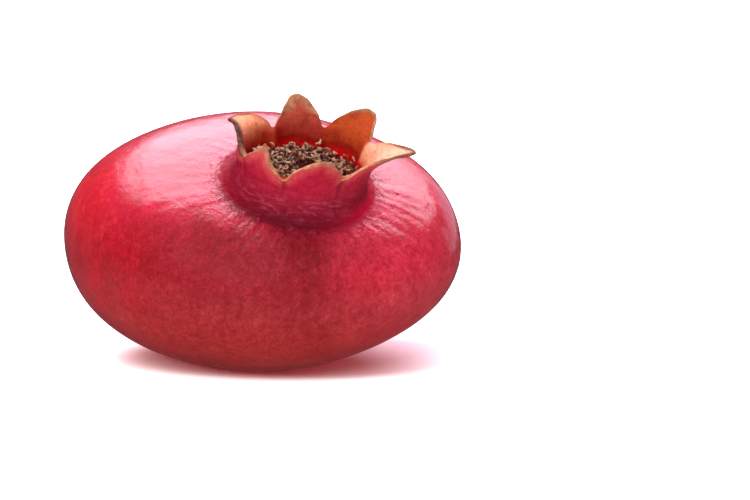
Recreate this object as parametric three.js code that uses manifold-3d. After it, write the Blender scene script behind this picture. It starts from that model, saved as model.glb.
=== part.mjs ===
// A ripe pomegranate as picked, resting on its underside: a lopsided oval fruit that is wider than it is
// deep, with a short neck, a crown of six fleshy sepals, and the dried stamens that line the crown's cup.
//
// Units are millimetres. The fruit is described in its own frame first, with w running from the stem end
// to the crown, u to the right and v to the back. It then leans over, forwards and to the right, and its
// underside is pressed flat at z = 0. The origin is the middle of that flat spot.

import * as THREE from "three";
import { mergeVertices } from "three/addons/utils/BufferGeometryUtils.js";
import Module from "manifold-3d";

// ---------------------------------------------------------------------------------------------------
// Driving dimensions
// ---------------------------------------------------------------------------------------------------

// The body. Its halves are as high as this from its waist to the crown and to the stem. Fullness swells it
// between waist and pole, more on the crown's half, and it is thicker to the left and the back, all as
// shares of its size.
const HALF_WIDTH = 53.5;
const HALF_DEPTH = 43.5;
const CROWN_HALF = 26.2;
const STEM_HALF = 38.4;
const FULLNESS = { even: 0.02, crown: 0.053 };
const THICKER = { left: 0.086, back: 0.057 };

// The body's middle line runs aslant, by drift from its waist to the crown, and bows one way at both ends.
const DRIFT = { u: 7.3, v: -5.5 };
const BOW = { u: 1.7, v: -1.1 };

// Faint lengthwise ribs, one under each sepal.
const RIB_HEIGHT = 0.3;

// The stem end: a shallow dimple, with the scar of the cut stem standing in it.
const DIMPLE = { radius: 7.5, depth: 1.7 };
const SCAR = { radius: 3.2, height: 1 };

// How the fruit lies, in degrees, and how much of its underside is pressed flat.
const LEAN_FORWARD = 29.5;
const LEAN_RIGHT = 6.9;
const FLAT_DEPTH = 1.5;

// The crown stands on the body's pole, sunk a little and turned a little more upright than the body.
const CROWN = { sunk: 1.7, forward: -15.6, right: 3 };

// The neck: heights are above the crown's base, and radii are (u, v) pairs.
const NECK_FOOT = 21.5;
const NECK_WAIST = { u: 17.2, v: 14.9, height: 4.8 };
const NECK_RIM = { u: 18, v: 15.6, height: 10.8 };
const CREASE = { depth: 0.7, width: 0.3 };

// The cup inside the crown. Its heights, and those of the stamens, are measured from the neck's rim.
const WALL = 2.1;
const CUP = { wallTop: -5.6, floor: -9.5, corner: 2.5 };

// The six sepals, anticlockwise from the front. from and to are the bearings of the notches beside each
// one, and notch is the height of the first of them over the neck's rim. width is the share of the space
// between its notches that a sepal fills, blunt is 1.5 for a pointed tip and 3 for a round one, lean is its
// angle off the crown's axis at its foot and at its tip, aside moves its middle round the crown as a share
// of half that space, skew moves its tip sideways, and cupped lifts its edges.
const SEPALS = [
  {
    from: -107, to: -51, notch: -3.1, length: 10.4, width: 0.58, blunt: 2.6,
    lean: [22, 42], aside: 0, skew: 0.3, cupped: 0.5,
  },
  {
    from: -51, to: 20, notch: -1.4, length: 12.6, width: 0.34, blunt: 1.8,
    lean: [28, 76], aside: 0, skew: 0.2, cupped: 1.2,
  },
  {
    from: 20, to: 75, notch: 1.6, length: 8.3, width: 0.69, blunt: 3,
    lean: [22, 40], aside: 0, skew: -1, cupped: 0.7,
  },
  {
    from: 75, to: 126, notch: 0.1, length: 8.8, width: 0.62, blunt: 2.8,
    lean: [22, 44], aside: -0.12, skew: 1.3, cupped: 0.8,
  },
  {
    from: 126, to: 205, notch: -1.2, length: 7.7, width: 0.44, blunt: 1.8,
    lean: [-30, 122], aside: -0.34, skew: 2, cupped: 1.4,
  },
  {
    from: 205, to: 253, notch: -1.3, length: 6.8, width: 0.42, blunt: 1.8,
    lean: [22, -24], aside: 0.04, skew: -0.2, cupped: 0.4,
  },
];
const SEPAL_ROOT = 1.6;
const SEPAL_FLARE = 2.2;
const NOTCH_LEAN = 10;
const TIP_THICKNESS = 0.7;
const THINNING = 0.6;
const EDGE_ROUNDING = 0.35;

// The dried stamens stand on a thin dried mat that rings the cup, which is dished towards its middle. hole
// is a share of the cup's radius, and so are the stamens' nearest and furthest roots and anthers.
const MAT = { gap: 0.3, thickness: 0.8, hole: 0.36, outerHeight: -4.6, innerHeight: -5.4, sides: 36 };
const STAMENS = { count: 78, seed: 7, rootDepth: 0.4, nearest: 0.42, furthest: 0.9 };
const FILAMENT = { radius: 0.26, steps: 3, shortest: 1.2, tallest: 3.6, stray: 2.6, sway: 1.6 };
const ANTHER = { long: 1.1, wide: 0.72 };

// How finely the surfaces are cut.
const COLUMNS_PER_SEPAL = 12;
const STEM_END_RADII = [4.6, 7, 10];
const FLANK_ROWS = 11;
const SHOULDER_ROWS = 8;
const FOOT_ROWS = 4;
const NECK_ROWS = 2;
const SEPAL_ROWS = 6;
const CUP_ROWS = 3;
const CUP_FLOOR_RINGS = [0.62, 0.3];

const SKIN = new THREE.MeshStandardMaterial({ color: 0xb8243a, roughness: 0.38, metalness: 0 });
const DRIED = new THREE.MeshStandardMaterial({ color: 0x7a5240, roughness: 0.85, metalness: 0 });

// ---------------------------------------------------------------------------------------------------
// The columns of the surface: each runs from the stem end, up over a sepal's edge and down into the cup
// ---------------------------------------------------------------------------------------------------

const { degToRad: radians, lerp: mix } = THREE.MathUtils;
const COLUMNS = COLUMNS_PER_SEPAL * SEPALS.length;

// A column belongs to a sepal, at a place across it from -1 at one notch to 1 at the next.
function columnAt(index) {
  const number = Math.floor(index / COLUMNS_PER_SEPAL);
  const sepal = SEPALS[number];
  const next = SEPALS[(number + 1) % SEPALS.length];
  const share = (index % COLUMNS_PER_SEPAL) / COLUMNS_PER_SEPAL;
  const across = share * 2 - 1;
  const even = SEPALS[0].from + (360 * index) / COLUMNS;
  return { index, sepal, across, even, notch: mix(sepal.notch, next.notch, share) };
}

const columns = Array.from({ length: COLUMNS }, (_, index) => columnAt(index));

// The bearing, in radians, of a place across a sepal.
function bearingOf(sepal, across) {
  return radians(mix(sepal.from, sepal.to, (across + 1) / 2));
}

// Columns are evenly spread on the body, and gather to their sepals towards the crown.
function columnBearing(column, gathered) {
  return mix(radians(column.even), bearingOf(column.sepal, column.across), gathered);
}

// ---------------------------------------------------------------------------------------------------
// The body
// ---------------------------------------------------------------------------------------------------

// A point of the body. angle runs from 0 at the crown's pole to pi at the stem's pole.
function bodyPoint(angle, bearing) {
  const sine = Math.sin(angle);
  const cosine = Math.cos(angle);
  const fullness = FULLNESS.even + FULLNESS.crown * cosine;
  const up = cosine * (1 + fullness * sine * sine);
  const ribs = Math.cos(SEPALS.length * (bearing - radians(SEPALS[0].from)));
  const out = sine * (1 + fullness * cosine * cosine) * (1 - (RIB_HEIGHT / HALF_DEPTH) * sine * ribs);
  const u = out * Math.cos(bearing);
  const v = out * Math.sin(bearing);
  const height = mix(STEM_HALF, CROWN_HALF, (1 + up) / 2) * up;
  return new THREE.Vector3(
    HALF_WIDTH * u + DRIFT.u * up + BOW.u * up * up,
    HALF_DEPTH * v + DRIFT.v * up + BOW.v * up * up,
    height * (1 - THICKER.left * u + THICKER.back * v),
  );
}

// The angle from a pole at which the body's ring there has about this half-width.
function angleAtRadius(radius, fullness) {
  return Math.asin(radius / HALF_WIDTH / (1 + fullness));
}

const crownAngle = (radius) => angleAtRadius(radius, FULLNESS.even + FULLNESS.crown);
const stemAngle = (radius) => Math.PI - angleAtRadius(radius, FULLNESS.even - FULLNESS.crown);

// A ring near the stem's pole, with the dimple pressed in and, at the scar, the stump standing out of it.
function stemEndRow(radius, raised) {
  const angle = stemAngle(radius);
  const sunk = DIMPLE.depth * Math.exp(-((radius / DIMPLE.radius) ** 2)) - raised;
  const rise = new THREE.Vector3(0, 0, sunk);
  return columns.map((column) => bodyPoint(angle, columnBearing(column, 0)).add(rise));
}

function stemEndRows() {
  const scarTop = stemEndRow(SCAR.radius * 0.8, SCAR.height);
  const scarFoot = stemEndRow(SCAR.radius, 0);
  return [scarTop, scarFoot, ...STEM_END_RADII.map((radius) => stemEndRow(radius, 0))];
}

function bodyRows() {
  const lowest = stemAngle(STEM_END_RADII.at(-1));
  const highest = crownAngle(NECK_FOOT);
  const rows = [];
  for (let row = 1; row <= FLANK_ROWS; row += 1) {
    const angle = mix(lowest, Math.PI / 2, row / FLANK_ROWS);
    rows.push(columns.map((column) => bodyPoint(angle, columnBearing(column, 0))));
  }
  for (let row = 1; row <= SHOULDER_ROWS; row += 1) {
    const share = row / SHOULDER_ROWS;
    const angle = mix(Math.PI / 2, highest, share);
    rows.push(columns.map((column) => bodyPoint(angle, columnBearing(column, share * share))));
  }
  return rows;
}

// ---------------------------------------------------------------------------------------------------
// The neck and the sepals
// ---------------------------------------------------------------------------------------------------

// The crown's own frame stands on the body's pole.
const crownFrame = new THREE.Matrix4()
  .makeTranslation(DRIFT.u + BOW.u, DRIFT.v + BOW.v, CROWN_HALF - CROWN.sunk)
  .multiply(new THREE.Matrix4().makeRotationY(radians(CROWN.right)))
  .multiply(new THREE.Matrix4().makeRotationX(radians(CROWN.forward)));

// A point on an upright oval, at a height above the crown's base, in the crown's frame.
function ovalPoint(radii, bearing, height, inset = 0) {
  const reach = 1 / Math.hypot(Math.cos(bearing) / radii.u, Math.sin(bearing) / radii.v);
  return new THREE.Vector3(
    (reach - inset) * Math.cos(bearing),
    (reach - inset) * Math.sin(bearing),
    height,
  );
}

// How deep the crease that runs down the neck from each notch is, at a place across a sepal.
function creaseDepth(across) {
  return CREASE.depth * Math.exp(-(((1 - Math.abs(across)) / CREASE.width) ** 2));
}

// The neck's outside, from its waist, at 0, to the foot of the sepals, at 1.
function neckPoint(column, share) {
  const foot = NECK_RIM.height + column.notch - SEPAL_ROOT;
  const radii = { u: mix(NECK_WAIST.u, NECK_RIM.u, share), v: mix(NECK_WAIST.v, NECK_RIM.v, share) };
  const bearing = columnBearing(column, 1);
  return ovalPoint(radii, bearing, mix(NECK_WAIST.height, foot, share), creaseDepth(column.across) * share);
}

// The neck's foot flows out onto the body along a curve, whose middle handle lies on the body under it.
function footRows() {
  const footAngle = crownAngle(NECK_FOOT);
  const handleAngle = crownAngle(NECK_RIM.u);
  const curves = columns.map((column) => {
    const bearing = columnBearing(column, 1);
    const start = bodyPoint(footAngle, bearing);
    const handle = bodyPoint(handleAngle, bearing);
    const end = neckPoint(column, 0).applyMatrix4(crownFrame);
    return new THREE.QuadraticBezierCurve3(start, handle, end);
  });
  const rows = [];
  for (let row = 1; row <= FOOT_ROWS; row += 1) {
    rows.push(curves.map((curve) => curve.getPoint(row / FOOT_ROWS)));
  }
  return rows;
}

// How far out and up a strip of a length reaches, when its lean turns steadily from one angle to another.
function bentStrip(length, leanFrom, leanTo) {
  const halfTurn = (leanTo - leanFrom) / 2;
  const chord = Math.abs(halfTurn) < 1e-6 ? length : (length * Math.sin(halfTurn)) / halfTurn;
  const lean = leanFrom + halfTurn;
  return { out: chord * Math.sin(lean), up: chord * Math.cos(lean) };
}

// The shape of a sepal's edge: how far along it and across it a column meets the edge, each up to 1. It is
// a tongue on a flared foot.
function sepalEdge(sepal, place) {
  const along = 1 - Math.abs(place) ** 1.6;
  const tongue = Math.sqrt(1 - along ** sepal.blunt);
  const flare = mix(sepal.width, 1, (1 - along) ** SEPAL_FLARE);
  return { along, across: Math.sign(place) * tongue * flare };
}

// A point of a sepal's outer face, in the crown's frame. share runs from 0 at its foot to 1 at its edge.
function sepalPoint(column, share) {
  const { sepal } = column;
  const edge = sepalEdge(sepal, column.across);
  const fullLength = SEPAL_ROOT + sepal.length;
  const length = share * (SEPAL_ROOT + sepal.length * edge.along);
  const along = length / fullLength;
  const edgeAcross = edge.across + sepal.aside * (1 - edge.across ** 2);
  const across = mix(column.across, edgeAcross, share);
  const atNotch = Math.abs(column.across) ** 3;
  const bearing = bearingOf(sepal, across);
  const facing = mix(bearingOf(sepal, 0), bearing, atNotch);
  const leanFrom = mix(sepal.lean[0], NOTCH_LEAN, atNotch);
  const leanTo = mix(mix(sepal.lean[0], sepal.lean[1], along), NOTCH_LEAN, atNotch);
  const reach = bentStrip(length, radians(leanFrom), radians(leanTo));
  const cupped = sepal.cupped * across * across * along;
  const sideways = sepal.skew * along * along;
  const foot = ovalPoint(NECK_RIM, bearing, NECK_RIM.height + column.notch - SEPAL_ROOT);
  const crease = creaseDepth(column.across) * (1 - share);
  const out = reach.out - crease - cupped * Math.cos(radians(leanTo));
  const up = reach.up + cupped * Math.sin(radians(leanTo));
  return new THREE.Vector3(
    foot.x + out * Math.cos(facing) - sideways * Math.sin(facing),
    foot.y + out * Math.sin(facing) + sideways * Math.cos(facing),
    foot.z + up,
  );
}

// The outward direction of a face made of rows of points, at one point.
function faceNormal(rows, row, index) {
  const above = rows[Math.min(row + 1, rows.length - 1)][index];
  const below = rows[row - 1][index];
  const left = rows[row][(index + COLUMNS - 1) % COLUMNS];
  const right = rows[row][(index + 1) % COLUMNS];
  const up = new THREE.Vector3().subVectors(above, below);
  return new THREE.Vector3().subVectors(right, left).cross(up).normalize();
}

// The neck's side and the sepals' outer faces, their rounded edges, and their inner faces, down to the cup.
function crownRows() {
  const outer = [];
  for (let row = 0; row <= NECK_ROWS; row += 1) {
    outer.push(columns.map((column) => neckPoint(column, row / NECK_ROWS)));
  }
  for (let row = 1; row <= SEPAL_ROWS; row += 1) {
    outer.push(columns.map((column) => sepalPoint(column, row / SEPAL_ROWS)));
  }
  const inner = [];
  for (let row = 1; row <= SEPAL_ROWS; row += 1) {
    const number = NECK_ROWS + row;
    const thickness = mix(WALL, TIP_THICKNESS, (row / SEPAL_ROWS) ** THINNING);
    inner.push(columns.map((column, index) => (
      outer[number][index].clone().addScaledVector(faceNormal(outer, number, index), -thickness)
    )));
  }
  const edge = columns.map((column, index) => {
    const rim = outer.at(-1)[index];
    const rise = new THREE.Vector3().subVectors(rim, outer.at(-2)[index]).normalize();
    const lip = rim.distanceTo(inner.at(-1)[index]) * EDGE_ROUNDING;
    return new THREE.Vector3().lerpVectors(rim, inner.at(-1)[index], 0.5).addScaledVector(rise, lip);
  });
  return [...outer.slice(1), edge, ...inner.reverse()];
}

// A ring of the cup's wall, at a height from the neck's rim.
function cupRow(height, inset) {
  return columns.map((column) => {
    const radii = { u: NECK_WAIST.u - WALL, v: NECK_WAIST.v - WALL };
    return ovalPoint(radii, columnBearing(column, 1), NECK_RIM.height + height, inset);
  });
}

// The cup's wall goes straight down, turns through a rounded corner and ends in a flat floor.
function cupRows() {
  const cornerTop = CUP.floor + CUP.corner;
  const rows = [];
  for (let row = 0; row < CUP_ROWS; row += 1) {
    rows.push(cupRow(mix(CUP.wallTop, cornerTop, row / (CUP_ROWS - 1)), 0));
  }
  for (const turn of [Math.PI / 4, Math.PI / 2]) {
    rows.push(cupRow(cornerTop - CUP.corner * Math.sin(turn), CUP.corner * (1 - Math.cos(turn))));
  }
  const floor = rows.at(-1);
  const middle = new THREE.Vector3(0, 0, NECK_RIM.height + CUP.floor);
  for (const share of CUP_FLOOR_RINGS) {
    rows.push(floor.map((point) => new THREE.Vector3().lerpVectors(middle, point, share)));
  }
  return rows;
}

// ---------------------------------------------------------------------------------------------------
// Closing the rows into a solid, and laying the fruit down
// ---------------------------------------------------------------------------------------------------

const lying = new THREE.Matrix4()
  .makeRotationY(radians(LEAN_RIGHT))
  .multiply(new THREE.Matrix4().makeRotationX(radians(LEAN_FORWARD)));

// Joins rows of points, each a closed ring, and closes the first and the last ring to a point.
function closedLoft(firstPole, rows, lastPole) {
  const points = [firstPole, ...rows.flat(), lastPole];
  const faces = [];
  const at = (row, index) => 1 + row * COLUMNS + (index % COLUMNS);
  for (let index = 0; index < COLUMNS; index += 1) {
    faces.push(0, at(0, index + 1), at(0, index));
    for (let row = 0; row + 1 < rows.length; row += 1) {
      faces.push(at(row, index), at(row, index + 1), at(row + 1, index + 1));
      faces.push(at(row, index), at(row + 1, index + 1), at(row + 1, index));
    }
    faces.push(points.length - 1, at(rows.length - 1, index), at(rows.length - 1, index + 1));
  }
  return { points, faces };
}

function fruitLoft() {
  const stemPole = bodyPoint(Math.PI, 0).add(new THREE.Vector3(0, 0, DIMPLE.depth - SCAR.height));
  const inCrown = [...crownRows(), ...cupRows()];
  for (const point of inCrown.flat()) {
    point.applyMatrix4(crownFrame);
  }
  const cupMiddle = new THREE.Vector3(0, 0, NECK_RIM.height + CUP.floor).applyMatrix4(crownFrame);
  return closedLoft(stemPole, [...stemEndRows(), ...bodyRows(), ...footRows(), ...inCrown], cupMiddle);
}

// Lays the fruit down, presses its underside flat, and finds the middle of the flat spot.
function layDown(points) {
  for (const point of points) {
    point.applyMatrix4(lying);
  }
  const ground = Math.min(...points.map((point) => point.z)) + FLAT_DEPTH;
  const pressed = points.filter((point) => point.z <= ground);
  const middle = pressed.reduce((sum, point) => sum.add(point), new THREE.Vector3());
  middle.divideScalar(pressed.length).setZ(ground);
  for (const point of points) {
    point.z = Math.max(point.z, ground);
    point.sub(middle);
  }
  return middle;
}

function meshGeometry(points, faces) {
  const geometry = new THREE.BufferGeometry().setFromPoints(points);
  geometry.setIndex(faces);
  geometry.computeVertexNormals();
  return geometry;
}

// ---------------------------------------------------------------------------------------------------
// The stamens
// ---------------------------------------------------------------------------------------------------

const wasm = await Module();
wasm.setup();

// A repeatable stream of numbers from 0 to 1.
function seededRandom(seed) {
  let state = seed;
  return () => {
    state = (state * 1664525 + 1013904223) % 4294967296;
    return state / 4294967296;
  };
}

function toSolid(geometry) {
  geometry.deleteAttribute("normal");
  geometry.deleteAttribute("uv");
  const merged = mergeVertices(geometry, 1e-5);
  const vertProperties = new Float32Array(merged.attributes.position.array);
  const triVerts = new Uint32Array(merged.index.array);
  return new wasm.Manifold(new wasm.Mesh({ numProp: 3, vertProperties, triVerts }));
}

function fromSolid(solid) {
  const mesh = solid.getMesh();
  const geometry = new THREE.BufferGeometry();
  geometry.setAttribute("position", new THREE.BufferAttribute(mesh.vertProperties, 3));
  geometry.setIndex(new THREE.BufferAttribute(mesh.triVerts, 1));
  geometry.computeVertexNormals();
  return geometry;
}

const GOLDEN_ANGLE = Math.PI * (3 - Math.sqrt(5));
const cupRadii = { u: NECK_WAIST.u - WALL, v: NECK_WAIST.v - WALL };

// The height of the mat's top at a share of the cup's radius, over the crown's base.
function matHeight(share) {
  const across = (share - MAT.hole) / (1 - MAT.hole);
  return NECK_RIM.height + mix(MAT.innerHeight, MAT.outerHeight, across);
}

function matGeometry() {
  const hole = { u: cupRadii.u * MAT.hole, v: cupRadii.v * MAT.hole };
  const corners = [
    { radii: cupRadii, inset: MAT.gap, height: matHeight(1) - MAT.thickness },
    { radii: cupRadii, inset: MAT.gap, height: matHeight(1) },
    { radii: hole, inset: 0, height: matHeight(MAT.hole) },
    { radii: hole, inset: 0, height: matHeight(MAT.hole) - MAT.thickness },
  ];
  const bearings = Array.from({ length: MAT.sides }, (_, side) => (2 * Math.PI * side) / MAT.sides);
  const points = corners.flatMap(({ radii, inset, height }) => (
    bearings.map((bearing) => ovalPoint(radii, bearing, height, inset))
  ));
  const faces = [];
  const at = (corner, side) => (corner % corners.length) * MAT.sides + (side % MAT.sides);
  for (let corner = 0; corner < corners.length; corner += 1) {
    for (let side = 0; side < MAT.sides; side += 1) {
      faces.push(at(corner, side), at(corner, side + 1), at(corner + 1, side + 1));
      faces.push(at(corner, side), at(corner + 1, side + 1), at(corner + 1, side));
    }
  }
  return meshGeometry(points, faces);
}

// A place in the cup, at a share of its radius and a height over the crown's base.
function cupPoint(share, bearing, height) {
  return ovalPoint(cupRadii, bearing, height).multiply(new THREE.Vector3(share, share, 1));
}

// One stamen: a thin three-sided filament that curls up out of the mat, with an anther on its end.
function stamenSolids(bearing, share, random) {
  const root = cupPoint(share, bearing, matHeight(share) - STAMENS.rootDepth);
  const tip = root.clone();
  tip.x += FILAMENT.stray * (random() - 0.5);
  tip.y += FILAMENT.stray * (random() - 0.5);
  tip.z += mix(FILAMENT.shortest, FILAMENT.tallest, random());
  const furthest = STAMENS.furthest / Math.hypot(tip.x / cupRadii.u, tip.y / cupRadii.v);
  tip.x *= Math.min(furthest, 1);
  tip.y *= Math.min(furthest, 1);
  const bend = new THREE.Vector3().lerpVectors(root, tip, 0.6);
  bend.x += FILAMENT.sway * (random() - 0.5);
  bend.y += FILAMENT.sway * (random() - 0.5);
  const section = new THREE.Shape(Array.from({ length: 3 }, (_, corner) => {
    const turn = (2 * Math.PI * corner) / 3;
    return new THREE.Vector2(FILAMENT.radius * Math.cos(turn), FILAMENT.radius * Math.sin(turn));
  }));
  const extrudePath = new THREE.QuadraticBezierCurve3(root, bend, tip);
  const filament = new THREE.ExtrudeGeometry(section, { steps: FILAMENT.steps, extrudePath });
  const anther = new THREE.IcosahedronGeometry(1, 0)
    .scale(ANTHER.long, ANTHER.wide, ANTHER.wide)
    .rotateY(random() * Math.PI)
    .rotateZ(random() * Math.PI)
    .translate(tip.x, tip.y, tip.z);
  return [toSolid(filament), toSolid(anther)];
}

// The stamens are spread over the mat on a spiral that keeps them evenly apart.
function stamensGeometry() {
  const random = seededRandom(STAMENS.seed);
  const solids = [toSolid(matGeometry())];
  for (let number = 0; number < STAMENS.count; number += 1) {
    const area = (number + random()) / STAMENS.count;
    const share = Math.sqrt(mix(STAMENS.nearest ** 2, STAMENS.furthest ** 2, area));
    solids.push(...stamenSolids(number * GOLDEN_ANGLE, share, random));
  }
  return fromSolid(wasm.Manifold.union(solids));
}

// ---------------------------------------------------------------------------------------------------
// The pomegranate
// ---------------------------------------------------------------------------------------------------

const loft = fruitLoft();
const restingPoint = layDown(loft.points);
const fruit = new THREE.Mesh(meshGeometry(loft.points, loft.faces), SKIN);
fruit.name = "fruit";

// The stamens are made in the crown's own frame, so their mesh is turned and moved as the fruit is.
const stamens = new THREE.Mesh(stamensGeometry(), DRIED);
stamens.name = "stamens";
stamens.applyMatrix4(crownFrame);
stamens.applyMatrix4(lying);
stamens.position.sub(restingPoint);

const pomegranate = new THREE.Group();
pomegranate.add(fruit, stamens);

export default pomegranate;
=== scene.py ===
import math
import random

import bpy
from mathutils import Matrix, Vector, noise
from mathutils.kdtree import KDTree


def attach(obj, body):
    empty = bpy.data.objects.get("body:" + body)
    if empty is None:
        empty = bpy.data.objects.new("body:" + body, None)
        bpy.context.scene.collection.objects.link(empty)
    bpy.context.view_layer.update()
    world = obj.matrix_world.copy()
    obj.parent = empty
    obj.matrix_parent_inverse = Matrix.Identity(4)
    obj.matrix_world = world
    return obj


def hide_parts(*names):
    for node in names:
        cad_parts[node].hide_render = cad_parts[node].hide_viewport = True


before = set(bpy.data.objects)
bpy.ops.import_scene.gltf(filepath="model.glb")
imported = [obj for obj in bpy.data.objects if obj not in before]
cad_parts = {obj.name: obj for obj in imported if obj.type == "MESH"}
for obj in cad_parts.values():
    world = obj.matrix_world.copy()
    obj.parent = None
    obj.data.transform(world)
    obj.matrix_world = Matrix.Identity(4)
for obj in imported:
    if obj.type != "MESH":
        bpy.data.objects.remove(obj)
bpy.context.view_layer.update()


# ---- The view --------------------------------------------------------------------------------
# The fruit is seen from the side that its crown leans to, from a little above, through a long
# lens, so that the crown's far sepals stand over its near ones.

lens = bpy.data.cameras.new("view")
lens.lens = 100
lens.sensor_width = 36
lens.clip_start = 0.02
lens.clip_end = 30
viewer = bpy.data.objects.new("view", lens)
viewer.location = (0.03474, -0.55675, 0.14822)
viewer.rotation_euler = (math.radians(78), 0, 0)
bpy.context.scene.collection.objects.link(viewer)
bpy.context.scene.camera = viewer


# ---- The rind, with its neck, sepals and cup --------------------------------------------------
# The whole fruit grew as one piece: a leathery rind with a waxy gloss, which narrows to a neck
# that opens into six sepals round a cup. It is a copy of the solid, rounded, and then wrinkled
# where the real skin is drawn together round the neck and dried along the sepals' edges.

# The crown's own frame: the fruit leans over as it lies, and the crown is turned a little more upright.
CROWN_BASE = Vector((0.01502, -0.01897, 0.05063))
CROWN_TURN = (
    Matrix.Rotation(math.radians(6.9), 4, "Y")
    @ Matrix.Rotation(math.radians(29.5), 4, "X")
    @ Matrix.Rotation(math.radians(3.0), 4, "Y")
    @ Matrix.Rotation(math.radians(-15.6), 4, "X")
)
TO_CROWN = (Matrix.Translation(CROWN_BASE) @ CROWN_TURN).inverted()
MM = 0.001

# The skin's mesh is in rows round the fruit, counted from the stem's end. These are the rows of the
# neck's foot, of the sepals' edge and of the top of the cup's wall. Only the two poles join more edges
# than POLE_EDGES.
FOOT_ROW = 24
RIM_ROW = 37
CUP_ROW = 44
POLE_EDGES = 40

bpy.ops.object.select_all(action="DESELECT")
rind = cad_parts["fruit"].copy()
rind.data = rind.data.copy()
rind.parent = None
for note in list(rind.keys()):
    del rind[note]
rind.name = "rind"
rind.data.name = "rind"
bpy.context.scene.collection.objects.link(rind)
bpy.context.view_layer.objects.active = rind
rind.select_set(True)
bpy.ops.object.mode_set(mode="EDIT")
bpy.ops.mesh.select_all(action="SELECT")
bpy.ops.mesh.remove_doubles(threshold=0.001 * MM)
bpy.ops.mesh.customdata_custom_splitnormals_clear()
bpy.ops.object.mode_set(mode="OBJECT")


def rows_from_stem(mesh):
    """The number of the row that each vertex is in, counted from the stem's end."""
    near = [[] for _ in mesh.vertices]
    for edge in mesh.edges:
        first, second = edge.vertices
        near[first].append(second)
        near[second].append(first)
    poles = [index for index, others in enumerate(near) if len(others) > POLE_EDGES]
    stem = min(poles, key=lambda index: mesh.vertices[index].co.z)
    rows = {stem: 0}
    front = [stem]
    while front:
        reached = []
        for index in front:
            for other in near[index]:
                if other not in rows:
                    rows[other] = rows[index] + 1
                    reached.append(other)
        front = reached
    return [rows[index] for index in range(len(near))]


# The solid is in triangles. Without the diagonal that parts each pair it has four-sided faces, which
# round evenly.
row_of = rows_from_stem(rind.data)
last_row = max(row_of)
diagonals = set()
for face in rind.data.polygons:
    corners = list(face.vertices)
    lowest, second, _ = sorted(row_of[corner] for corner in corners)
    if second == lowest:
        for corner, following in zip(corners, corners[1:] + corners[:1]):
            if row_of[following] < row_of[corner] < last_row:
                diagonals.add(frozenset((corner, following)))
bpy.ops.object.mode_set(mode="EDIT")
bpy.ops.mesh.select_mode(type="EDGE")
bpy.ops.mesh.select_all(action="DESELECT")
bpy.ops.object.mode_set(mode="OBJECT")
for edge in rind.data.edges:
    edge.select = frozenset(edge.vertices) in diagonals
bpy.ops.object.mode_set(mode="EDIT")
bpy.ops.mesh.dissolve_edges(use_verts=False)
bpy.ops.mesh.select_mode(type="VERT")
bpy.ops.object.mode_set(mode="OBJECT")

# Each vertex keeps its row, and how far it is along the skin from the neck's foot, or on the
# inside from the top of the cup's wall, so that the colours can follow the crown's own growth.
row_of = rows_from_stem(rind.data)
upward = {}
for edge in rind.data.edges:
    first, second = sorted(edge.vertices, key=lambda index: row_of[index])
    if row_of[second] == row_of[first] + 1:
        upward[first] = second
climb = [0.0] * len(row_of)
for start in [index for index, row in enumerate(row_of) if row == FOOT_ROW]:
    here = start
    total = 0.0
    while row_of[here] < RIM_ROW:
        above = upward[here]
        total += (rind.data.vertices[above].co - rind.data.vertices[here].co).length
        climb[above] = total
        here = above
    inside = [here]
    while row_of[inside[-1]] < CUP_ROW:
        inside.append(upward[inside[-1]])
    total = 0.0
    for below, above in zip(inside[::-1], inside[-2::-1]):
        if row_of[above] > RIM_ROW:
            total += (rind.data.vertices[above].co - rind.data.vertices[below].co).length
            climb[above] = total
rind.data.attributes.new("row", "FLOAT", "POINT").data.foreach_set("value", [float(row) for row in row_of])
rind.data.attributes.new("climb", "FLOAT", "POINT").data.foreach_set("value", climb)

# Rounding draws thin tips in, so its cage is first let out until it passes through the solid, by a
# share of what is still lost in each round.
LET_OUT_ROUNDS = 4
LET_OUT_SHARE = 0.9
rounding = rind.modifiers.new("rounding", "SUBSURF")
rounding.levels = 2
rounding.render_levels = 2
true_places = [vertex.co.copy() for vertex in rind.data.vertices]
for _ in range(LET_OUT_ROUNDS):
    rounded = rind.evaluated_get(bpy.context.evaluated_depsgraph_get()).data
    drawn_in = [true - rounded.vertices[index].co for index, true in enumerate(true_places)]
    for vertex, lost in zip(rind.data.vertices, drawn_in):
        vertex.co += lost * LET_OUT_SHARE
    rind.data.update()
bpy.ops.object.modifier_apply(modifier="rounding")
bpy.ops.object.shade_smooth()
skin_row = [entry.value for entry in rind.data.attributes["row"].data]

# The sepals' inner faces run down into the cup in one sweep, so the ridge between them is relaxed.
bpy.ops.object.mode_set(mode="EDIT")
bpy.ops.mesh.select_all(action="DESELECT")
bpy.ops.object.mode_set(mode="OBJECT")
for vertex in rind.data.vertices:
    vertex.select = RIM_ROW + 1.3 < skin_row[vertex.index] < CUP_ROW + 2.2
bpy.ops.object.mode_set(mode="EDIT")
bpy.ops.mesh.vertices_smooth(factor=0.5, repeat=60)
bpy.ops.object.mode_set(mode="OBJECT")

# How far each part of the crown is from the sepals' edge. The body counts as far off. The rounded
# skin's rows are a quarter of a row apart.
FAR_OFF = 20 * MM
HALF_STEP = 0.13
on_rim = [vertex.index for vertex in rind.data.vertices
          if abs(skin_row[vertex.index] - RIM_ROW) < HALF_STEP]
rim = KDTree(len(on_rim))
for number, index in enumerate(on_rim):
    rim.insert(rind.data.vertices[index].co, number)
rim.balance()
margin = [FAR_OFF if skin_row[vertex.index] < FOOT_ROW else rim.find(vertex.co)[2]
          for vertex in rind.data.vertices]

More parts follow.
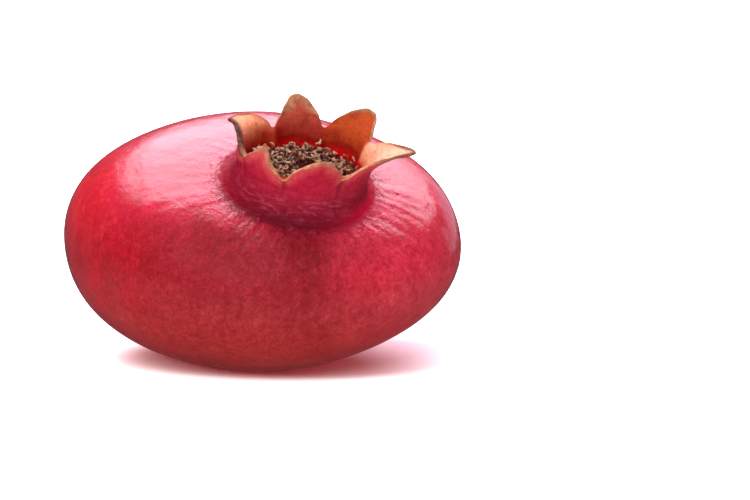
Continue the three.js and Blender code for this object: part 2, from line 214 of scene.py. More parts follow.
# The six sepals, by the bearings of their two notches round the crown, in degrees, with the colours
# of the inner face at its foot and at its tip.
SEPALS = (
    (-107, -51, "8c3018", "b06a48"),
    (-51, 20, "c8704e", "e0987a"),
    (20, 75, "7a0d04", "9a3a14"),
    (75, 126, "740a06", "923628"),
    (126, 205, "a8321c", "d48a66"),
    (205, 253, "8c2814", "b47050"),
)

# How wide the dried edge is, in mm, and how brown, by the bearing round the crown.
DRIED_EDGES = (
    (-107, 0.5, 0.1), (-100, 0.5, 0.1), (-92, 0.6, 0.1), (-83, 1.2, 0.3), (-72, 1.4, 0.5), (-62, 0.5, 0.2),
    (-51, 0.45, 0.1), (-40, 0.5, 0.1), (-30, 0.7, 0.3), (-22, 1.2, 0.8), (-13, 1.2, 0.8), (-5, 0.7, 0.4),
    (15, 0.5, 0.1), (20, 0.45, 0.1), (34, 0.6, 0.3), (44, 1.5, 0.6), (56, 1.0, 0.5), (66, 0.5, 0.3),
    (75, 0.4, 0.1),
    (84, 0.6, 0.2), (94, 1.8, 0.5), (104, 2.6, 0.4), (114, 0.8, 0.4), (122, 0.4, 0.2),
    (130, 0.4, 0.2), (148, 0.6, 0.5), (160, 1.2, 1.0), (178, 2.6, 1.0), (194, 2.2, 1.0), (203, 0.9, 0.7),
    (210, 0.5, 0.2), (220, 0.6, 0.3), (229, 1.3, 0.5), (240, 1.1, 0.3), (248, 0.5, 0.1), (253, 0.5, 0.1),
)


def smooth(value, start, end):
    """A soft step from 0 at start to 1 at end."""
    share = min(max((value - start) / (end - start), 0.0), 1.0)
    return share * share * (3 - 2 * share)


def dried_at(bearing):
    """How wide and how brown the dried edge is at a bearing."""
    if bearing < DRIED_EDGES[0][0]:
        bearing += 360
    for (start, *near), (end, *far) in zip(DRIED_EDGES, DRIED_EDGES[1:]):
        if start <= bearing <= end:
            share = (bearing - start) / (end - start)
            return [before + (after - before) * share for before, after in zip(near, far)]
    return DRIED_EDGES[-1][1:]


def paint(code):
    """A colour's linear values from its usual six-digit code."""
    linear = []
    for place in (0, 2, 4):
        share = int(code[place:place + 2], 16) / 255
        linear.append(share / 12.92 if share <= 0.04045 else ((share + 0.055) / 1.055) ** 2.4)
    return (*linear, 1.0)


def sepal_tints(bearing):
    """The colours of a sepal's inner face at a bearing, which run together at its notches."""
    if bearing < SEPALS[0][0]:
        bearing += 360
    weights = [smooth(bearing, start - 3, start + 3) * (1 - smooth(bearing, end - 3, end + 3))
               for start, end, _, _ in SEPALS]
    whole = sum(weights) or 1.0
    return [
        tuple(sum(weight * paint(sepal[part])[channel] for weight, sepal in zip(weights, SEPALS)) / whole
              for channel in range(3)) + (1.0,)
        for part in (2, 3)
    ]


def turn_from(start, bearing):
    """The turn in degrees from one bearing to another, from -180 to 180."""
    return (bearing - start + 180) % 360 - 180


# Lengths in mm. Two sepals meet in a crease below each notch, folds run out from the neck's foot, the
# dried edges shrink unevenly, and one sepal's tip ends in a small curled spike, at a bearing.
SEAM_WIDE = 0.55
SEAM_DEEP = 0.5
FOLD_HIGH = 0.16
FOLDS_ROUND = 14
RUFFLE_HIGH = 0.22
SWELL_HIGH = 0.10
SPIKE_BEARING = 228.5
SPIKE_TURN = 1.5
SPIKE_LONG = 0.45

traits = {name: [] for name in ("dryness", "browned", "inner", "seam", "flushed")}
tints = {"foot_tint": [], "tip_tint": []}
moved = []
for vertex in rind.data.vertices:
    row = skin_row[vertex.index]
    place = TO_CROWN @ vertex.co
    bearing = math.degrees(math.atan2(place.y, place.x))
    outward = Vector((math.cos(math.radians(bearing)), math.sin(math.radians(bearing)), 0))
    reach = margin[vertex.index] / MM
    spread = math.hypot(place.x, place.y) / MM
    wide, brown = dried_at(bearing)
    on_sepals = smooth(row, FOOT_ROW + 4, FOOT_ROW + 6)

    # A narrow dried edge ends sharply and a wide one fades, with a flush of peach beside it.
    soft = smooth(wide, 0.6, 1.6)
    dry = 1 - smooth(reach, (0.6 - 0.5 * soft) * wide, (1.2 + 0.8 * soft) * wide)
    flush = (1 - smooth(reach, 0.4, 2.2 + 1.4 * wide)) * min(0.35 + 0.25 * wide, 0.8)
    notch_turn = min(abs(turn_from(start, bearing)) for start, *_ in SEPALS)
    crease = math.exp(-(math.radians(notch_turn) * spread / SEAM_WIDE) ** 2)
    seam = crease * smooth(row, FOOT_ROW + 1.5, FOOT_ROW + 5.5) * (row < RIM_ROW)
    traits["dryness"].append(dry * on_sepals)
    traits["browned"].append(brown)
    traits["flushed"].append(flush * on_sepals)
    traits["inner"].append(smooth(row, RIM_ROW - 0.6, RIM_ROW + 0.4))
    traits["seam"].append(seam)
    for name, tint in zip(tints, sepal_tints(bearing)):
        tints[name].append(tint)

    # The skin is moved outwards or inwards, and the spike also out and up along its sepal.
    gathered = smooth(spread, 15, 20) * (1 - smooth(spread, 26, 48)) * (row < FOOT_ROW + 2)
    fold = noise.noise(outward * FOLDS_ROUND + Vector((0, 0, spread * 0.10))) * FOLD_HIGH * gathered
    ruffle = noise.noise(vertex.co * 520) * RUFFLE_HIGH * on_sepals * (1 - smooth(reach, 0.3, 3.5))
    swell = noise.noise(vertex.co * 55) * SWELL_HIGH * (row < FOOT_ROW)
    bump = fold + ruffle + swell - SEAM_DEEP * seam
    spike = math.exp(-(turn_from(SPIKE_BEARING, bearing) / SPIKE_TURN) ** 2) * math.exp(-(reach / 0.8) ** 2)
    lift = CROWN_TURN.to_3x3() @ (outward * 0.5 + Vector((0, 0, 1.5)))
    moved.append(vertex.co + (vertex.normal * bump + lift * SPIKE_LONG * spike * on_sepals) * MM)
for vertex, place in zip(rind.data.vertices, moved):
    vertex.co = place
for name, values in traits.items():
    rind.data.attributes.new(name, "FLOAT", "POINT").data.foreach_set("value", values)
for name, values in tints.items():
    channels = [channel for tint in values for channel in tint]
    rind.data.attributes.new(name, "FLOAT_COLOR", "POINT").data.foreach_set("color", channels)
rind.data.update()


def feed(tree, value, socket):
    """Puts a value, or another node's output, into a socket."""
    if isinstance(value, bpy.types.NodeSocket):
        tree.links.new(value, socket)
    else:
        socket.default_value = value


def node(tree, kind, settings=None, **inputs):
    """A node with its settings, and its inputs given by name as a value or as another's output."""
    made = tree.nodes.new("ShaderNode" + kind)
    for name, value in (settings or {}).items():
        setattr(made, name, value)
    for name, value in inputs.items():
        feed(tree, value, made.inputs[name.replace("_", " ")])
    return made


def blend(tree, share, below, above):
    """One colour laid over another by a share."""
    made = tree.nodes.new("ShaderNodeMix")
    made.data_type = "RGBA"
    for place, value in ((0, share), (6, below), (7, above)):
        feed(tree, value, made.inputs[place])
    return made.outputs[2]


def sums(tree, operation, *terms):
    """The result of a sum on one, two or three values."""
    made = tree.nodes.new("ShaderNodeMath")
    made.operation = operation
    for socket, value in zip(made.inputs, terms):
        feed(tree, value, socket)
    return made.outputs[0]


def both(tree, mask, other):
    """Where two masks meet, or one mask at part of its strength."""
    return sums(tree, "MULTIPLY", mask, other)


def raised(tree, height, pattern, amount):
    """A height with a pattern laid on it, as high as the amount."""
    return sums(tree, "MULTIPLY_ADD", pattern, amount, height)


def swayed(tree, value, pattern, amount):
    """A value made uneven: less where a pattern is below half, and more where it is above."""
    return sums(tree, "MULTIPLY_ADD", sums(tree, "SUBTRACT", pattern, 0.5), amount, value)


def fade(tree, value, start, end, low=0.0, high=1.0):
    """A soft step from low to high as a value goes from start to end."""
    made = tree.nodes.new("ShaderNodeMapRange")
    made.interpolation_type = "SMOOTHSTEP"
    for place, given in enumerate((value, start, end, low, high)):
        feed(tree, given, made.inputs[place])
    return made.outputs[0]


def arrows(tree, operation, *terms):
    """The result of a sum on vectors."""
    made = tree.nodes.new("ShaderNodeVectorMath")
    made.operation = operation
    for socket, value in zip(made.inputs, terms):
        feed(tree, value, socket)
    return made.outputs


def cloud(tree, where, size, detail=3.0, roughness=0.55):
    """Soft uneven patches of a size in metres, from 0 to 1."""
    made = node(tree, "TexNoise", Vector=where, Scale=1 / size, Detail=detail, Roughness=roughness)
    return made.outputs[0]


# Dried plant tissue, as a node group for every material that has some: mottled between a dark and a
# light brown by a tone, with a crumpled grain of a size in metres, and lighter on the grain's ridges and
# darker in its dips, which is painted shade.
TISSUE_INPUTS = {"Place": "Vector", "Grain": "Float", "Tone": "Float", "Dark": "Color", "Light": "Color"}
TISSUE_OUTPUTS = {"Colour": "Color", "Height": "Float"}
dried_tissue = bpy.data.node_groups.new("dried_tissue", "ShaderNodeTree")
for name, kind in TISSUE_INPUTS.items():
    dried_tissue.interface.new_socket(name, in_out="INPUT", socket_type="NodeSocket" + kind)
for name, kind in TISSUE_OUTPUTS.items():
    dried_tissue.interface.new_socket(name, in_out="OUTPUT", socket_type="NodeSocket" + kind)
given = dried_tissue.nodes.new("NodeGroupInput").outputs
fineness = sums(dried_tissue, "DIVIDE", 1.0, given["Grain"])
crumple = node(dried_tissue, "TexNoise", Vector=given["Place"], Scale=fineness, Detail=4.0, Roughness=0.6)
crumple = crumple.outputs[0]
# Painted shade: the browns follow the grain's height, darker in its dips, on top of the tone.
shade = sums(dried_tissue, "MULTIPLY_ADD", given["Tone"], 0.35, both(dried_tissue, crumple, 0.9))
brown_mix = blend(dried_tissue, fade(dried_tissue, shade, 0.25, 0.85), given["Dark"], given["Light"])
taken = dried_tissue.nodes.new("NodeGroupOutput").inputs
feed(dried_tissue, brown_mix, taken["Colour"])
feed(dried_tissue, both(dried_tissue, crumple, given["Grain"]), taken["Height"])


def dried(tree, place, grain, dark, light, tone=0.0):
    """The dried tissue group in a material, with its own grain and browns."""
    made = tree.nodes.new("ShaderNodeGroup")
    made.node_tree = dried_tissue
    for name, value in zip(TISSUE_INPUTS, (place, grain, tone, dark, light)):
        feed(tree, value, made.inputs[name])
    return made.outputs


skin = bpy.data.materials.new("rind_skin")
skin.use_nodes = True
tree = skin.node_tree
tree.nodes.clear()
place = node(tree, "TexCoord").outputs["Object"]
across, inward, level = node(tree, "SeparateXYZ", Vector=place).outputs
kept = {name: node(tree, "Attribute", {"attribute_name": name}).outputs
        for name in ("row", "climb", *traits, *tints)}
row = kept["row"]["Fac"]
grown = kept["climb"]["Fac"]
inner = kept["inner"]["Fac"]

# The skin's marks run out from the crown. So the place is turned into the crown's own frame, and a
# pattern is read by the direction round the crown and by the distance from it.
turned = node(tree, "Mapping", {"vector_type": "TEXTURE"}, Vector=place, Location=CROWN_BASE,
              Rotation=CROWN_TURN.to_euler()).outputs[0]
crown_across, crown_inward, crown_level = node(tree, "SeparateXYZ", Vector=turned).outputs
away = arrows(tree, "LENGTH", turned)["Value"]
level_place = node(tree, "CombineXYZ", X=crown_across, Y=crown_inward).outputs[0]
facing = arrows(tree, "NORMALIZE", level_place)["Vector"]


def spokes(tree, round_about, outward, detail=4.0, roughness=0.6, waver=0.0, measure=away):
    """Marks drawn out from the crown: how many there are round it, and to a metre outward."""
    spun = node(tree, "VectorMath", {"operation": "SCALE"}, Vector=facing, Scale=round_about / math.tau)
    run = node(tree, "CombineXYZ", Z=sums(tree, "MULTIPLY", measure, outward))
    where = arrows(tree, "ADD", spun.outputs[0], run.outputs[0])["Vector"]
    made = node(tree, "TexNoise", Vector=where, Scale=1.0, Detail=detail, Roughness=roughness,
                Distortion=waver)
    return made.outputs[0]


def mottled(tree, colour, pattern, swing, strength=1.0):
    """A colour made deeper where a pattern is below half and paler where it is above, by channel."""
    off = both(tree, sums(tree, "SUBTRACT", pattern, 0.5), strength)
    red, green, blue = [sums(tree, "MAXIMUM", sums(tree, "MULTIPLY_ADD", off, amount, 1.0), 0.0)
                        for amount in swing]
    change = node(tree, "CombineXYZ", X=red, Y=green, Z=blue).outputs[0]
    return arrows(tree, "MULTIPLY", colour, change)["Vector"]


# Where things are: the crown, whose foot has a crinkled border, the dip round the foot, where shade
# is painted, and the part of the neck that faces away from the lamp.
crinkles = spokes(tree, 90, 960, 3.0, 0.6, 1.0)
uneven_row = swayed(tree, row, crinkles, 2.2)
on_crown = fade(tree, row, FOOT_ROW - 0.5, FOOT_ROW + 0.5)
# Painted shade: this mask darkens the dip round the neck's foot.
painted_foot_shade = fade(tree, uneven_row, FOOT_ROW - 0.6, FOOT_ROW + 0.3)
painted_foot_shade = both(tree, painted_foot_shade, fade(tree, grown, 5.5 * MM, 1.6 * MM))
shaded = fade(tree, inward, -18 * MM, -36 * MM)

# The body is crimson, pinker at the right and brick red below. Painted light makes it pinker on top, brighter
# red at the top left, where the lamp falls, and lighter in a ring round the neck except on the front that is
# in shade.
patches = cloud(tree, place, 13 * MM, 3.0, 0.55)
leftward = sums(tree, "MULTIPLY_ADD", patches, 30 * MM, across)
upward_of = sums(tree, "MULTIPLY_ADD", patches, 12 * MM, level)
body = blend(tree, fade(tree, leftward, 30 * MM, -34 * MM), paint("700a18"), paint("800816"))
body = blend(tree, fade(tree, leftward, 30 * MM, 56 * MM), body, paint("9c1a2c"))
low = fade(tree, level, 38 * MM, 6 * MM)
body = blend(tree, both(tree, low, 0.85), body, paint("8c2422"))
# Painted light: pinker and lighter on top, where the lamp above falls.
painted_top_light = fade(tree, upward_of, 42 * MM, 62 * MM)
body = blend(tree, both(tree, painted_top_light, 0.7), body, paint("b41030"))
# Painted light: brighter red at the top left, which the lamp lights most.
painted_top_left_light = both(tree, fade(tree, leftward, -10 * MM, -38 * MM), fade(tree, level, 30 * MM, 48 * MM))
body = blend(tree, both(tree, painted_top_left_light, 0.75), body, paint("b60c1c"))
# Painted light: a ring round the neck is painted lighter, against the shade of the neck's foot, but not on
# the shaded front.
painted_collar_light = both(tree, fade(tree, away, 31 * MM, 21 * MM), sums(tree, "SUBTRACT", 1.0, shaded))
body = blend(tree, both(tree, painted_collar_light, 0.65), body, paint("c01240"))

# The left side has darker blotches and coral streaks, and the whole body a fine net of paler and
# deeper marks and pale dots.
left_side = fade(tree, leftward, 4 * MM, -30 * MM)
blotches = fade(tree, cloud(tree, place, 8 * MM, 4.0, 0.6), 0.52, 0.38, 0.0, 0.55)
body = blend(tree, both(tree, blotches, left_side), body, paint("9a0016"))
streaks = fade(tree, spokes(tree, 90, 300, 4.0, 0.65, 0.8), 0.46, 0.74, 0.0, 0.34)
streaks = both(tree, streaks, both(tree, left_side, fade(tree, level, 24 * MM, 44 * MM)))
body = blend(tree, streaks, body, paint("cc3030"))
mottle = cloud(tree, place, 1.7 * MM, 3.0, 0.6)
speckle = cloud(tree, place, 0.8 * MM, 2.0, 0.6)
marks = spokes(tree, 130, 260, 4.0, 0.62)
drawn = fade(tree, away, 60 * MM, 22 * MM)
body = mottled(tree, body, patches, (0.45, 1.6, 1.2))
body = mottled(tree, body, mottle, (0.7, 2.6, 2.1))
body = mottled(tree, body, speckle, (0.75, 2.3, 1.9))
body = mottled(tree, body, marks, (0.9, 2.2, 1.8), drawn)
dots = fade(tree, cloud(tree, place, 0.6 * MM, 3.0, 0.6), 0.40, 0.80, 0.0, 0.017)
dots = both(tree, dots, fade(tree, level, 14 * MM, 30 * MM))
body = blend(tree, dots, body, paint("ffb4bc"))

# The neck and the sepals' outer faces are painted darkest at the neck's foot as painted shade, with fine
# creases round the neck that carry painted highlights in front, veins that run up it, a peach flush by the
# dried edges, and painted shade in the crease below each notch.
creases = spokes(tree, 30, 1300, 4.0, 0.6, 0.8, crown_level)
low_neck = fade(tree, grown, 11.5 * MM, 5 * MM)
# Painted shade: darker low on the neck, lighter up it.
outer = blend(tree, fade(tree, grown, 3 * MM, 14 * MM), paint("6c021a"), paint("92142c"))
# Painted highlights: pink streaks on the creases low on the neck's front.
painted_glints = both(tree, fade(tree, creases, 0.45, 0.75, 0.0, 0.34), both(tree, low_neck, shaded))
outer = blend(tree, painted_glints, outer, paint("c06480"))
outer = mottled(tree, outer, mottle, (0.7, 2.4, 1.8))
veins = spokes(tree, 190, 340, 4.0, 0.65, 1.3)
flushed = both(tree, kept["flushed"]["Fac"], fade(tree, veins, 0.2, 0.7, 0.6, 1.0))
outer = blend(tree, flushed, outer, paint("c05a50"))
outer = mottled(tree, outer, veins, (0.6, 1.4, 1.2))
# Painted shade: darker in the crease below each notch.
outer = blend(tree, both(tree, kept["seam"]["Fac"], 0.55), outer, paint("600a18"))

# Inside, the red throat turns to each sepal's own orange towards its tip.
sooty = cloud(tree, place, 4.5 * MM, 4.0, 0.62)
climbed = swayed(tree, grown, sooty, 5 * MM)
inside = blend(tree, fade(tree, climbed, 3.5 * MM, 10 * MM), kept["foot_tint"]["Color"],
               kept["tip_tint"]["Color"])
inside = blend(tree, fade(tree, climbed, 4 * MM, -0.5 * MM), inside, paint("b00004"))
inside = blend(tree, both(tree, fade(tree, sooty, 0.47, 0.34), 0.45), inside, paint("6e1c10"))
inside = mottled(tree, inside, veins, (0.6, 1.2, 1.0))
# Painted shade: darker down in the cup, below the top of its wall.
inside = blend(tree, fade(tree, row, CUP_ROW - 0.5, CUP_ROW + 3), inside, paint("5a0a10"))

# The dried edges are tan, and dark brown where they are browned.
flakes = dried(tree, place, 1.6 * MM, paint("9c6444"), paint("dca680"))
dark_flakes = dried(tree, place, 1.2 * MM, paint("2c120a"), paint("78442c"))
tan = blend(tree, kept["browned"]["Fac"], flakes["Colour"], dark_flakes["Colour"])
roughened = swayed(tree, kept["dryness"]["Fac"], sooty, 0.6)
edge = both(tree, fade(tree, roughened, 0.1, 0.95), on_crown)

colour = blend(tree, on_crown, body, outer)
# Painted shade in the dip round the neck's foot: dark red, brighter red at the right, and darkest in front,
# on the side away from the lamp.
foot_shade_colour = blend(tree, fade(tree, across, 12 * MM, 30 * MM), paint("84001a"), paint("c00030"))
foot_shade_colour = blend(tree, shaded, foot_shade_colour, paint("42000c"))
colour = blend(tree, both(tree, painted_foot_shade, 0.8), colour, foot_shade_colour)
colour = blend(tree, inner, colour, inside)
colour = blend(tree, edge, colour, tan)

# The relief: folds drawn out from the neck, coarse and fine, that come and go, crinkles close to it, a
# pebbled grain that is strongest round the neck, shallow dents, and the neck's own veins and creases.
coarse = spokes(tree, 60, 190, 3.0, 0.55, 1.1)
fine = spokes(tree, 170, 520, 4.0, 0.6, 1.1)
pebbles = cloud(tree, place, 1.3 * MM, 3.0, 0.55)
gathers = fade(tree, cloud(tree, place, 8 * MM, 2.0, 0.5), 0.36, 0.62, 0.2, 1.0)
height = both(tree, coarse, fade(tree, away, 52 * MM, 18 * MM, 0.03 * MM, 0.09 * MM))
height = raised(tree, height, fine, fade(tree, away, 60 * MM, 18 * MM, 0.05 * MM, 0.10 * MM))
height = both(tree, height, gathers)
height = raised(tree, height, crinkles, fade(tree, away, 36 * MM, 18 * MM, 0.0, 0.23 * MM))
height = raised(tree, height, pebbles, fade(tree, away, 45 * MM, 14 * MM, 0.02 * MM, 0.10 * MM))
height = raised(tree, height, patches, 0.6 * MM)
height = raised(tree, height, speckle, 0.04 * MM)
height = raised(tree, height, veins, both(tree, on_crown, 0.08 * MM))
creased = fade(tree, low_neck, 0.0, 1.0, 0.06 * MM, 0.20 * MM)
height = raised(tree, height, creases, both(tree, on_crown, creased))
waxed = node(tree, "Bump", Height=height, Distance=1.0, Strength=1.0).outputs[0]
height = raised(tree, height, flakes["Height"], both(tree, edge, 0.25))
relief = node(tree, "Bump", Height=height, Distance=1.0, Strength=1.0).outputs[0]

# The skin itself is dull, and the gloss is its wax, which is thin underneath and ends at the neck's
# foot. Only a trace of it is left on the neck, and least inside.
rough = fade(tree, mottle, 0.3, 0.7, 0.42, 0.52)
rough = fade(tree, on_crown, 0.0, 1.0, rough, 0.62)
trace = sums(tree, "MULTIPLY_ADD", shaded, 0.22, 0.06)
trace = fade(tree, inner, 0.0, 1.0, trace, 0.04)
full = fade(tree, level, 4 * MM, 26 * MM, 0.3, 1.0)
wax = fade(tree, uneven_row, FOOT_ROW + 0.3, FOOT_ROW - 0.3, trace, full)
surface = node(tree, "BsdfPrincipled", Base_Color=colour, Roughness=rough, Normal=relief, Coat_Weight=wax,
               Coat_Roughness=0.13, Coat_IOR=1.5, Coat_Normal=waxed, Specular_IOR_Level=0.1)
node(tree, "OutputMaterial", Surface=surface.outputs[0])
rind.data.materials.clear()
rind.data.materials.append(skin)

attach(rind, "root")
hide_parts("fruit")


# ---- The stamens -----------------------------------------------------------------------------
# The dried stamens of the old flower: thin curled filaments that grow in a thick ring from a
# dished fibrous pad on the cup's floor, most with a bent, shrivelled anther on the end. They are
# loose and brittle, and leave the middle of the cup open.

RING_WIDE = 14.9 * MM
RING_DEEP = 12.6 * MM
PAD_HEIGHT = 6.0 * MM
PAD_THICK = 0.6 * MM
draw = random.Random(11)

# The pad: a ring drawn inwards and down in steps, closed in the middle, given its thickness and
# roughened. Each step is a share of the size before it, and so many mm lower.
PAD_STEPS = (
    (0.93, 0.05), (0.92, 0.15), (0.90, 0.2), (0.88, 0.2), (0.86, 0.15),
    (0.83, 0.1), (0.8, 0.1), (0.7, 0.05), (0.5, 0.0), (0.3, 0.0),
)
bpy.ops.object.select_all(action="DESELECT")
bpy.ops.mesh.primitive_circle_add(vertices=64, radius=1, location=(0, 0, 0))
pad = bpy.context.object
pad.name = "pad"
bpy.ops.object.mode_set(mode="EDIT")
bpy.ops.transform.resize(value=(RING_WIDE, RING_DEEP, 1))
bpy.ops.transform.translate(value=(0, 0, PAD_HEIGHT))
for closer, lower in PAD_STEPS:
    bpy.ops.mesh.extrude_edges_move()
    bpy.ops.transform.resize(value=(closer, closer, 1), center_override=(0, 0, 0))
    bpy.ops.transform.translate(value=(0, 0, -lower * MM))
bpy.ops.mesh.merge(type="CENTER")
bpy.ops.mesh.select_all(action="SELECT")
bpy.ops.mesh.normals_make_consistent(inside=False)
bpy.ops.object.mode_set(mode="OBJECT")
thickness = pad.modifiers.new("thickness", "SOLIDIFY")
thickness.thickness = PAD_THICK
thickness.offset = -1
bpy.ops.object.modifier_apply(modifier="thickness")
finer = pad.modifiers.new("finer", "SUBSURF")
finer.levels = 2
finer.render_levels = 2
bpy.ops.object.modifier_apply(modifier="finer")
for vertex in pad.data.vertices:
    crumpled = noise.noise(vertex.co * 900) * 0.2 + noise.noise(vertex.co * 380) * 0.45
    vertex.co += Vector((0, 0, crumpled * MM))
bpy.ops.object.shade_smooth()

# One anther: a bean of two dried lobes with a groove between them, to be copied.
ANTHER_RADIUS = 0.5 * MM
bpy.ops.object.select_all(action="DESELECT")
bpy.ops.mesh.primitive_uv_sphere_add(segments=10, ring_count=7, radius=ANTHER_RADIUS, location=(0, 0, 0))
anther = bpy.context.object
anther.name = "anther"
bpy.ops.object.mode_set(mode="EDIT")
bpy.ops.transform.resize(value=(0.85, 0.62, 1.45))
bpy.ops.mesh.select_all(action="DESELECT")
bpy.ops.object.mode_set(mode="OBJECT")
for vertex in anther.data.vertices:
    vertex.select = abs(vertex.co.x) < 0.1 * MM and abs(vertex.co.z) < 0.6 * MM
bpy.ops.object.mode_set(mode="EDIT")
bpy.ops.transform.resize(value=(1.0, 0.35, 0.9))
bpy.ops.object.mode_set(mode="OBJECT")
bpy.ops.object.shade_smooth()
anther.select_set(False)

# The filaments are rooted at even turns round the pad, between two shares of its size. Each curls as
# it rises and sinks again at its end, and keeps inside the cup's wall.
STAMENS = 310
EVEN_TURN = 2.39996
NEAREST_ROOT = 0.26
FURTHEST_ROOT = 0.95
FURTHEST_REACH = 0.93
WITH_ANTHER = 0.82
threads = bpy.data.curves.new("filaments", "CURVE")
threads.dimensions = "3D"
threads.bevel_depth = 0.18 * MM
threads.bevel_resolution = 0
threads.resolution_u = 3
threads.use_fill_caps = True
anthers = []
for number in range(STAMENS):
    turn = number * EVEN_TURN + draw.uniform(-0.3, 0.3)
    share = math.sqrt(draw.uniform(NEAREST_ROOT ** 2, FURTHEST_ROOT ** 2))
    foot = (5.2 + 0.6 * share) * MM
    root = Vector((RING_WIDE * share * math.cos(turn), RING_DEEP * share * math.sin(turn), foot))
    tall = draw.uniform(1.2, 4.5) * MM
    sway = Vector((draw.gauss(0, 1), draw.gauss(0, 1), 0)) * 1.0 * MM
    inward = -root.normalized() * draw.uniform(-0.3, 1.6) * MM
    curl = draw.uniform(0, math.tau)
    coil = draw.uniform(3.0, 6.5)
    points = []
    for step in range(8):
        along = step / 7
        heading = curl + coil * along
        hook = Vector((math.cos(heading), math.sin(heading), 0)) * 0.75 * MM * along
        rise = tall * (along - 0.9 * max(0.0, along - 0.62))
        points.append(root + (sway + inward) * along ** 1.4 + hook + Vector((0, 0, rise)))
    for point in points:
        out = math.hypot(point.x / RING_WIDE, point.y / RING_DEEP)
        if out > FURTHEST_REACH:
            point.x *= FURTHEST_REACH / out
            point.y *= FURTHEST_REACH / out
    thread = threads.splines.new("NURBS")
    thread.points.add(len(points) - 1)
    for step, (knot, point) in enumerate(zip(thread.points, points)):
        knot.co = (*point, 1)
        knot.radius = 1.1 - 0.06 * step
    thread.use_endpoint_u = True
    thread.order_u = 3
    if draw.random() < WITH_ANTHER:
        bead = anther.copy()
        bead.data = anther.data.copy()
        bend = draw.uniform(0.3, 1.5) / MM
        for vertex in bead.data.vertices:
            vertex.co.x += bend * vertex.co.z ** 2
        stray = Vector((draw.gauss(0, 0.5), draw.gauss(0, 0.5), draw.gauss(0, 0.3)))
        aim = (points[-1] - points[-2]).normalized() + stray
        size = Matrix.Diagonal((draw.uniform(0.75, 1.5), draw.uniform(0.75, 1.5), draw.uniform(0.75, 1.5), 1))
        bead.data.transform(
            Matrix.Translation(points[-1]) @ aim.to_track_quat("Z", "Y").to_matrix().to_4x4()
            @ Matrix.Rotation(draw.uniform(0, math.tau), 4, "Z") @ size)
        tone = bead.data.attributes.new("tone", "FLOAT", "POINT")
        tone.data.foreach_set("value", [draw.random()] * len(bead.data.vertices))
        bpy.context.scene.collection.objects.link(bead)
        anthers.append(bead)
filaments = bpy.data.objects.new("filaments", threads)
bpy.context.scene.collection.objects.link(filaments)
bpy.ops.object.select_all(action="DESELECT")
bpy.context.view_layer.objects.active = filaments
filaments.select_set(True)
bpy.ops.object.convert(target="MESH")
filaments = bpy.context.object
bpy.data.objects.remove(anther)


def dry_matter(name, dark, light, grain):
    """A dry matt plant material, mottled between two browns."""
    made = bpy.data.materials.new(name)
    made.use_nodes = True
    tree = made.node_tree
    tree.nodes.clear()
    place = node(tree, "TexCoord").outputs["Object"]
    tone = node(tree, "Attribute", {"attribute_name": "tone"}).outputs["Fac"]
    tissue = dried(tree, place, grain, dark, light, tone)
    height = both(tree, tissue["Height"], 0.35)
    relief = node(tree, "Bump", Height=height, Distance=1.0, Strength=1.0).outputs[0]
    surface = node(tree, "BsdfPrincipled", Base_Color=tissue["Colour"], Roughness=0.75, Normal=relief,
                   Specular_IOR_Level=0.2)
    node(tree, "OutputMaterial", Surface=surface.outputs[0])
    return made


dry_pad = dry_matter("dry_pad", paint("2c0608"), paint("6c1610"), 1.2 * MM)
dry_filament = dry_matter("dry_filament", paint("54180f"), paint("ac6040"), 1.6 * MM)
dry_anther = dry_matter("dry_anther", paint("1a0d09"), paint("a4846c"), 0.7 * MM)
pad.data.materials.append(dry_pad)
filaments.data.materials.append(dry_filament)
for bead in anthers:
    bead.data.materials.append(dry_anther)
bpy.ops.object.select_all(action="DESELECT")
for loose in (pad, filaments, *anthers):
    loose.select_set(True)
bpy.context.view_layer.objects.active = pad
bpy.ops.object.join()
stamens = bpy.context.object
stamens.name = "dried_stamens"
stamens.data.name = "dried_stamens"
stamens.data.transform(TO_CROWN.inverted())
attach(stamens, "root")
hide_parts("stamens")


# ---- The table and the studio -----------------------------------------------------------------
# A plain white table under one large soft lamp, above and a little behind, with broad weak lights
# in front, above and at the side, as fruit is lit for a shop's pictures.

# The table glows faintly red, painted light that stands in for the fruit's own colour thrown back up at it.
# To the camera it glows white outside an oval under the fruit, painted light that washes out the shadow's
# outer part, and so fades into the background.
GLOW_MIDDLE = (14 * MM, 0.0, 0.0)
GLOW_SIZE = (55 * MM, 26 * MM, 1.0)
bpy.ops.object.select_all(action="DESELECT")
bpy.ops.mesh.primitive_plane_add(size=6, location=(0, 0, 0))
table = bpy.context.object
table.name = "table"
white = bpy.data.materials.new("white_table")
white.use_nodes = True
tree = white.node_tree
tree.nodes.clear()
place = node(tree, "TexCoord").outputs["Object"]
oval = node(tree, "Mapping", {"vector_type": "TEXTURE"}, Vector=place, Location=GLOW_MIDDLE,
            Scale=GLOW_SIZE).outputs[0]
seen = node(tree, "LightPath").outputs["Is Camera Ray"]
# Painted light: beyond the oval the table glows white to the camera, and elsewhere faintly red.
beyond = both(tree, fade(tree, arrows(tree, "LENGTH", oval)["Value"], 0.72, 1.08), seen)
glow = blend(tree, beyond, (1.0, 0.10, 0.12, 1), (1, 1, 1, 1))
glow_strength = fade(tree, beyond, 0.0, 1.0, 0.2, 0.75)
surface = node(tree, "BsdfPrincipled", Base_Color=(0.95, 0.90, 0.91, 1), Roughness=0.8,
               Emission_Color=glow, Emission_Strength=glow_strength)
node(tree, "OutputMaterial", Surface=surface.outputs[0])
table.data.materials.append(white)
table.visible_glossy = False


def lamp(name, place, target, width, depth, power, tint=(1, 1, 1), shines=True):
    """A flat soft lamp that faces a point."""
    light = bpy.data.lights.new(name, "AREA")
    light.shape = "RECTANGLE"
    light.size = width
    light.size_y = depth
    light.energy = power
    light.color = tint
    holder = bpy.data.objects.new(name, light)
    holder.location = place
    holder.rotation_euler = (Vector(target) - Vector(place)).to_track_quat("-Z", "Y").to_euler()
    holder.visible_glossy = shines
    bpy.context.scene.collection.objects.link(holder)
    return holder


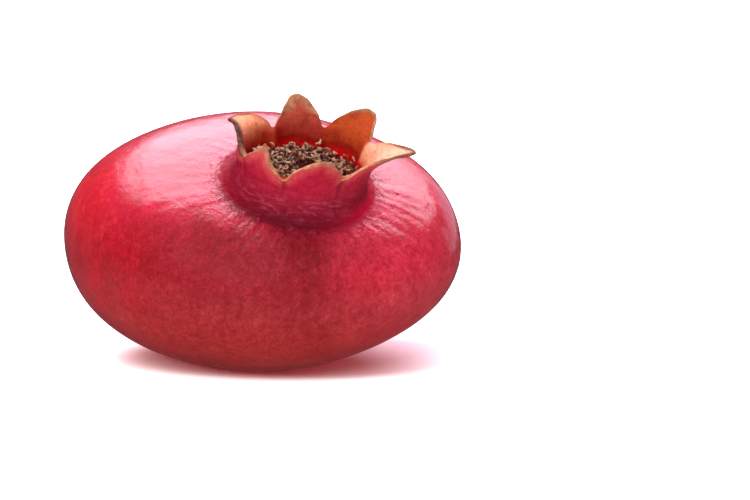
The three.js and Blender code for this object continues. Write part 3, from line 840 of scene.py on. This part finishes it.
BOX_LEFT = -1.00
BOX_RIGHT = 1.40
BOX_FRONT = -0.30
BOX_BACK = 3.10
BOX_HIGH = 1.08
box_wide = BOX_RIGHT - BOX_LEFT
box_deep = BOX_BACK - BOX_FRONT
box_middle = ((BOX_LEFT + BOX_RIGHT) / 2, (BOX_FRONT + BOX_BACK) / 2)
softbox = lamp("softbox", (*box_middle, BOX_HIGH), (*box_middle, 0.0), box_wide, box_deep, 144,
               (1.0, 0.86, 1.0))
lamp("front_fill", (-0.4, -1.3, 1.1), (0, 0, 0.03), 1.6, 1.2, 40, shines=False)
lamp("top_fill", (0.0, -0.2, 1.25), (0, 0, 0.03), 1.2, 1.2, 8, shines=False)
lamp("side_panel", (1.5, 1.9, 0.45), (0, 0, 0.05), 1.8, 1.0, 4, (1.0, 0.80, 1.0))

# The softbox has soft edges, both its near corners are cut off, and it is dimmer to the right and
# towards the back.
softbox.data.use_nodes = True
tree = softbox.data.node_tree
spot = node(tree, "NewGeometry").outputs["Parametric"]
share_x, share_y, _ = node(tree, "SeparateXYZ", Vector=spot).outputs
box_x = sums(tree, "MULTIPLY_ADD", share_x, box_wide, BOX_LEFT)
box_y = sums(tree, "MULTIPLY_ADD", share_y, box_deep, BOX_FRONT)
off_right_corner = sums(tree, "MULTIPLY_ADD", box_x, -0.45, box_y)
off_left_corner = sums(tree, "MULTIPLY_ADD", box_x, 0.46, box_y)
dimmed = both(tree, fade(tree, box_x, BOX_LEFT, -0.44), fade(tree, box_x, BOX_RIGHT, 1.06))
dimmed = both(tree, dimmed, fade(tree, off_right_corner, -0.14, 0.10))
dimmed = both(tree, dimmed, fade(tree, off_left_corner, -0.26, 0.02))
dimmed = both(tree, dimmed, fade(tree, box_x, 0.3, 0.8, 1.0, 0.68))
dimmed = both(tree, dimmed, fade(tree, box_y, 0.9, 2.2, 1.0, 0.3))
feed(tree, dimmed, tree.nodes["Emission"].inputs["Strength"])

# The room is white to the camera. To the fruit it is pink and dim, and a little less dim in its gloss.
world = bpy.data.worlds.new("studio")
bpy.context.scene.world = world
world.use_nodes = True
tree = world.node_tree
tree.nodes.clear()
rays = node(tree, "LightPath").outputs
seen = rays["Is Camera Ray"]
room_strength = sums(tree, "MULTIPLY_ADD", rays["Is Glossy Ray"], 0.09, 0.08)
room_strength = sums(tree, "MULTIPLY_ADD", seen, 0.92, room_strength)
room_colour = blend(tree, seen, (1, 0.5, 0.55, 1), (1, 1, 1, 1))
walls = node(tree, "Background", Color=room_colour, Strength=room_strength)
node(tree, "OutputWorld", Surface=walls.outputs[0])
bpy.context.scene.view_settings.view_transform = "Standard"
